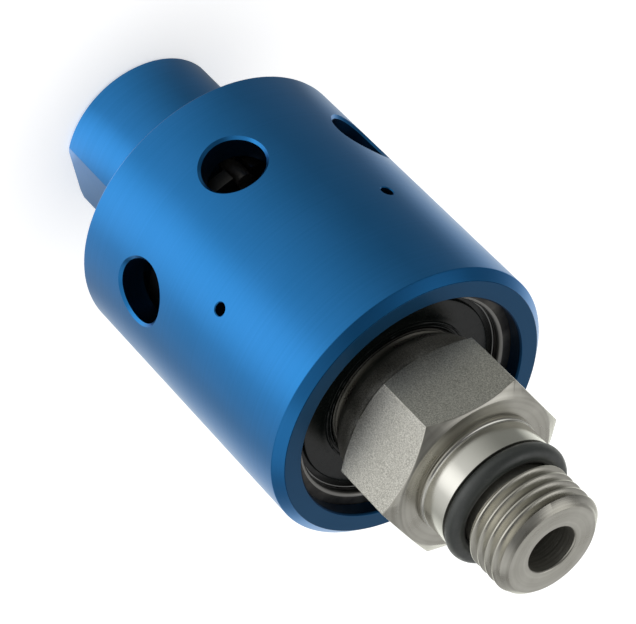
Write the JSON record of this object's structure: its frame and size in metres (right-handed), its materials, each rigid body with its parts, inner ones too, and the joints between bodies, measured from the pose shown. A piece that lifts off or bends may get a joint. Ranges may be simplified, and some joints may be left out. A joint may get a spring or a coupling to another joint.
{
  "type": "hydraulic rotary union",
  "caption": "Single-passage rotary union: a vented round bearing housing with a threaded inlet boss, and a hexagon-necked rotor with a threaded spigot that turns in sealed ball bearings.",
  "frame": {"origin": "centre of the inlet port face at the rear end of the boss", "axes": "+Z along the shaft axis from the inlet port towards the rotor thread; one vent faces -Y"},
  "size_m": [0.043, 0.043, 0.0961],
  "materials": {
    "blue_anodised_aluminium": "satin blue anodised, fine turned",
    "stainless_rotor": "machined stainless, milled flats, turned faces",
    "black_rubber": "smooth moulded nitrile",
    "bearing_seal_rubber": "glossy moulded rubber over steel",
    "cage_polymer": "glass-filled nylon, matte",
    "ptfe": "plain white",
    "carbon_seal": "lapped carbon graphite",
    "silicon_carbide": "lapped ceramic, dark grey",
    "stainless_carrier": "fine turned",
    "spring_steel": "phosphated spring steel",
    "spacer_steel": "fine turned",
    "bearing_steel": "ground and polished"
  },
  "bodies": {
    "stator": {"bore_retaining_ring": "spring_steel", "drive_pins": "bearing_steel", "end_cap": "blue_anodised_aluminium", "front_bearing_front_seal": "bearing_seal_rubber", "front_bearing_outer_ring": "bearing_steel", "front_bearing_rear_seal": "bearing_seal_rubber", "housing": "blue_anodised_aluminium", "outer_spacer": "spacer_steel", "rear_bearing_front_seal": "bearing_seal_rubber", "rear_bearing_outer_ring": "bearing_steel", "rear_bearing_rear_seal": "bearing_seal_rubber", "seal_spring": "spring_steel"},
    "rotor_shaft": {"rotor": "stainless_rotor", "rotor_o_ring": "black_rubber", "rotating_seal_ring": "silicon_carbide", "shaft_retaining_ring": "spring_steel", "inner_spacer": "spacer_steel", "front_bearing_inner_ring": "bearing_steel", "rear_bearing_inner_ring": "bearing_steel"},
    "front_ball_set": {"front_bearing_balls": "bearing_steel", "front_bearing_cage": "cage_polymer"},
    "rear_ball_set": {"rear_bearing_balls": "bearing_steel", "rear_bearing_cage": "cage_polymer"},
    "floating_seal": {"floating_seal_carrier": "stainless_carrier", "floating_seal_face": "carbon_seal", "carrier_o_ring": "black_rubber", "carrier_backup_ring": "ptfe"}
  },
  "joints": [
    {"name": "rotor_spin", "type": "hinge", "parent": "stator", "child": "rotor_shaft", "pos_m": [0, 0, 0.0628], "axis": [0, 0, 1], "continuous": true},
    {"name": "front_ball_orbit", "type": "hinge", "parent": "stator", "child": "front_ball_set", "pos_m": [0, 0, 0.0588], "axis": [0, 0, 1], "continuous": true},
    {"name": "rear_ball_orbit", "type": "hinge", "parent": "stator", "child": "rear_ball_set", "pos_m": [0, 0, 0.0424], "axis": [0, 0, 1], "continuous": true},
    {"name": "seal_float", "type": "slide", "parent": "stator", "child": "floating_seal", "axis": [0, 0, 1], "range_m": [-0.0008, 0], "stiffness_N_per_m": 9000, "springref_m": 0.002, "deforming": ["seal_spring"]}
  ],
  "couplings": [
    {"joint": "front_ball_orbit", "follows": "rotor_spin", "ratio": 0.4085},
    {"joint": "rear_ball_orbit", "follows": "rotor_spin", "ratio": 0.4085}
  ]
}
